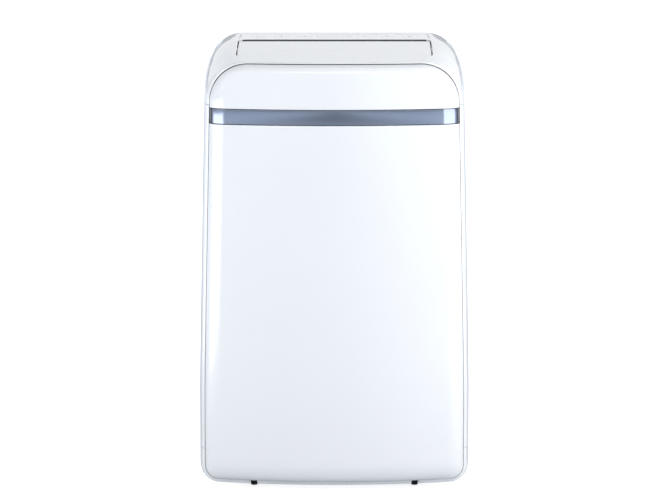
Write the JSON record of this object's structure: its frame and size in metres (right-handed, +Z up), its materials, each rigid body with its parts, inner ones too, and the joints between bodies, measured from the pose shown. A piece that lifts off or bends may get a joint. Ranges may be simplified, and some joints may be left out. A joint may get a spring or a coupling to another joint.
{
  "type": "portable air conditioner",
  "caption": "Tall rounded portable air conditioner on casters, with a tilting top outlet flap, touch controls behind it, rear intake grilles and a round hose collar.",
  "frame": {"origin": "on the floor, under the middle of the whole object", "axes": "+Z up, the front panel faces -Y, +X is the object's left seen from behind and its right seen from the front"},
  "size_m": [0.467, 0.397, 0.765],
  "materials": {
    "white_plastic": "glossy moulded",
    "silver_trim": "metallic, semi-gloss",
    "grey_plastic": "matt moulded",
    "dark_plastic": "matt moulded",
    "rubber": "matt",
    "smoke_window": "glossy, dark tinted",
    "filter_mesh": "woven mesh",
    "aluminium_fins": "finned",
    "steel": "galvanised",
    "black_steel": "black enamel",
    "copper": "drawn copper",
    "circuit_board": "coated board"
  },
  "bodies": {
    "casing": {"base_tray": "white_plastic", "compressor": "black_steel", "condenser": "aluminium_fins", "control_board": "circuit_board", "control_panel": "white_plastic", "cord_gland": "rubber", "cord_hook_lower": "white_plastic", "cord_hook_upper": "white_plastic", "discharge_pipe": "copper", "display_window": "smoke_window", "drip_tray": "grey_plastic", "electrical_box": "grey_plastic", "evaporator": "aluminium_fins", "exhaust_collar": "white_plastic", "flap_motor": "steel", "front_panel": "white_plastic", "front_upper_cover": "white_plastic", "left_handle_cup": "white_plastic", "left_side_panel": "white_plastic", "liquid_pipe": "copper", "lower_blower_motor": "steel", "lower_scroll": "white_plastic", "outlet_duct": "white_plastic", "rear_panel": "white_plastic", "right_handle_cup": "white_plastic", "right_side_panel": "white_plastic", "suction_pipe": "copper", "top_cover": "white_plastic", "trim_band": "silver_trim", "upper_blower_motor": "steel", "upper_scroll": "white_plastic"},
    "flap": {"discharge_flap": "white_plastic"},
    "link": {"vane_link": "grey_plastic"},
    "upper_wheel": {"upper_blower_wheel": "dark_plastic"},
    "lower_wheel": {"lower_blower_wheel": "dark_plastic"},
    "upper_grille": {"upper_intake_grille": "white_plastic", "upper_filter": "filter_mesh"},
    "lower_grille": {"lower_intake_grille": "white_plastic", "lower_filter": "filter_mesh"},
    "upper_plug": {"upper_drain_plug": "rubber"},
    "lower_plug": {"lower_drain_plug": "rubber"},
    "vane_1_body": {"vane_1": "grey_plastic"},
    "vane_2_body": {"vane_2": "grey_plastic"},
    "vane_3_body": {"vane_3": "grey_plastic"},
    "vane_4_body": {"vane_4": "grey_plastic"},
    "vane_5_body": {"vane_5": "grey_plastic"},
    "button_1_body": {"button_1": "white_plastic"},
    "button_2_body": {"button_2": "white_plastic"},
    "button_3_body": {"button_3": "white_plastic"},
    "button_4_body": {"button_4": "white_plastic"},
    "button_5_body": {"button_5": "white_plastic"},
    "button_6_body": {"button_6": "white_plastic"},
    "hood_front_left": {"caster_hood_front_left": "dark_plastic"},
    "wheel_front_left": {"caster_wheel_front_left": "dark_plastic"},
    "hood_front_right": {"caster_hood_front_right": "dark_plastic"},
    "wheel_front_right": {"caster_wheel_front_right": "dark_plastic"},
    "hood_rear_left": {"caster_hood_rear_left": "dark_plastic"},
    "wheel_rear_left": {"caster_wheel_rear_left": "dark_plastic"},
    "hood_rear_right": {"caster_hood_rear_right": "dark_plastic"},
    "wheel_rear_right": {"caster_wheel_rear_right": "dark_plastic"}
  },
  "joints": [
    {"name": "flap_tilt", "type": "hinge", "parent": "casing", "child": "flap", "pos_m": [0, -0.0595, 0.74258], "axis": [-1, 0, 0], "range_deg": [0, 60]},
    {"name": "vane_1_swing", "type": "hinge", "parent": "casing", "child": "vane_1_body", "pos_m": [-0.1372, 0, 0.6622], "axis": [0, 1, 0], "range_deg": [-30, 30]},
    {"name": "vane_2_swing", "type": "hinge", "parent": "casing", "child": "vane_2_body", "pos_m": [-0.0686, 0, 0.6622], "axis": [0, 1, 0], "range_deg": [-30, 30]},
    {"name": "vane_3_swing", "type": "hinge", "parent": "casing", "child": "vane_3_body", "pos_m": [0, 0, 0.6622], "axis": [0, 1, 0], "range_deg": [-30, 30]},
    {"name": "vane_4_swing", "type": "hinge", "parent": "casing", "child": "vane_4_body", "pos_m": [0.0686, 0, 0.6622], "axis": [0, 1, 0], "range_deg": [-30, 30]},
    {"name": "vane_5_swing", "type": "hinge", "parent": "casing", "child": "vane_5_body", "pos_m": [0.1372, 0, 0.6622], "axis": [0, 1, 0], "range_deg": [-30, 30]},
    {"name": "link_shift", "type": "slide", "parent": "casing", "child": "link", "axis": [1, 0, 0], "range_m": [-0.0066, 0.0066]},
    {"name": "button_1_press", "type": "slide", "parent": "casing", "child": "button_1_body", "axis": [0, 0, -1], "range_m": [0, 0.001], "stiffness_N_per_m": 400, "springref_m": -0.001},
    {"name": "button_2_press", "type": "slide", "parent": "casing", "child": "button_2_body", "axis": [0, 0, -1], "range_m": [0, 0.001], "stiffness_N_per_m": 400, "springref_m": -0.001},
    {"name": "button_3_press", "type": "slide", "parent": "casing", "child": "button_3_body", "axis": [0, 0, -1], "range_m": [0, 0.001], "stiffness_N_per_m": 400, "springref_m": -0.001},
    {"name": "button_4_press", "type": "slide", "parent": "casing", "child": "button_4_body", "axis": [0, 0, -1], "range_m": [0, 0.001], "stiffness_N_per_m": 400, "springref_m": -0.001},
    {"name": "button_5_press", "type": "slide", "parent": "casing", "child": "button_5_body", "axis": [0, 0, -1], "range_m": [0, 0.001], "stiffness_N_per_m": 400, "springref_m": -0.001},
    {"name": "button_6_press", "type": "slide", "parent": "casing", "child": "button_6_body", "axis": [0, 0, -1], "range_m": [0, 0.001], "stiffness_N_per_m": 400, "springref_m": -0.001},
    {"name": "upper_blower_spin", "type": "hinge", "parent": "casing", "child": "upper_wheel", "pos_m": [0, 0, 0.52625], "axis": [0, 1, 0], "continuous": true},
    {"name": "lower_blower_spin", "type": "hinge", "parent": "casing", "child": "lower_wheel", "pos_m": [0.052, 0, 0.1195], "axis": [0, 1, 0], "continuous": true},
    {"name": "upper_grille_lift_off", "type": "slide", "parent": "casing", "child": "upper_grille", "axis": [0, 1, 0], "range_m": [0, 0.06]},
    {"name": "lower_grille_lift_off", "type": "slide", "parent": "casing", "child": "lower_grille", "axis": [0, 1, 0], "range_m": [0, 0.06]},
    {"name": "upper_plug_pull", "type": "slide", "parent": "casing", "child": "upper_plug", "axis": [0, 1, 0], "range_m": [0, 0.03]},
    {"name": "lower_plug_pull", "type": "slide", "parent": "casing", "child": "lower_plug", "axis": [0, 1, 0], "range_m": [0, 0.03]},
    {"name": "front_left_swivel", "type": "hinge", "parent": "casing", "child": "hood_front_left", "pos_m": [-0.139, -0.12028, 0], "axis": [0, 0, 1], "continuous": true},
    {"name": "front_left_roll", "type": "hinge", "parent": "hood_front_left", "child": "wheel_front_left", "pos_m": [-0.139, -0.11228, 0.0155], "axis": [1, 0, 0], "continuous": true},
    {"name": "front_right_swivel", "type": "hinge", "parent": "casing", "child": "hood_front_right", "pos_m": [0.139, -0.12028, 0], "axis": [0, 0, 1], "continuous": true},
    {"name": "front_right_roll", "type": "hinge", "parent": "hood_front_right", "child": "wheel_front_right", "pos_m": [0.139, -0.11228, 0.0155], "axis": [1, 0, 0], "continuous": true},
    {"name": "rear_left_swivel", "type": "hinge", "parent": "casing", "child": "hood_rear_left", "pos_m": [-0.139, 0.1215, 0], "axis": [0, 0, 1], "continuous": true},
    {"name": "rear_left_roll", "type": "hinge", "parent": "hood_rear_left", "child": "wheel_rear_left", "pos_m": [-0.139, 0.1295, 0.0155], "axis": [1, 0, 0], "continuous": true},
    {"name": "rear_right_swivel", "type": "hinge", "parent": "casing", "child": "hood_rear_right", "pos_m": [0.139, 0.1215, 0], "axis": [0, 0, 1], "continuous": true},
    {"name": "rear_right_roll", "type": "hinge", "parent": "hood_rear_right", "child": "wheel_rear_right", "pos_m": [0.139, 0.1295, 0.0155], "axis": [1, 0, 0], "continuous": true}
  ],
  "couplings": [
    {"joint": "vane_2_swing", "follows": "vane_1_swing", "ratio": 1},
    {"joint": "vane_3_swing", "follows": "vane_1_swing", "ratio": 1},
    {"joint": "vane_4_swing", "follows": "vane_1_swing", "ratio": 1},
    {"joint": "vane_5_swing", "follows": "vane_1_swing", "ratio": 1},
    {"joint": "link_shift", "follows": "vane_1_swing", "m_per_rad": -0.012414}
  ]
}
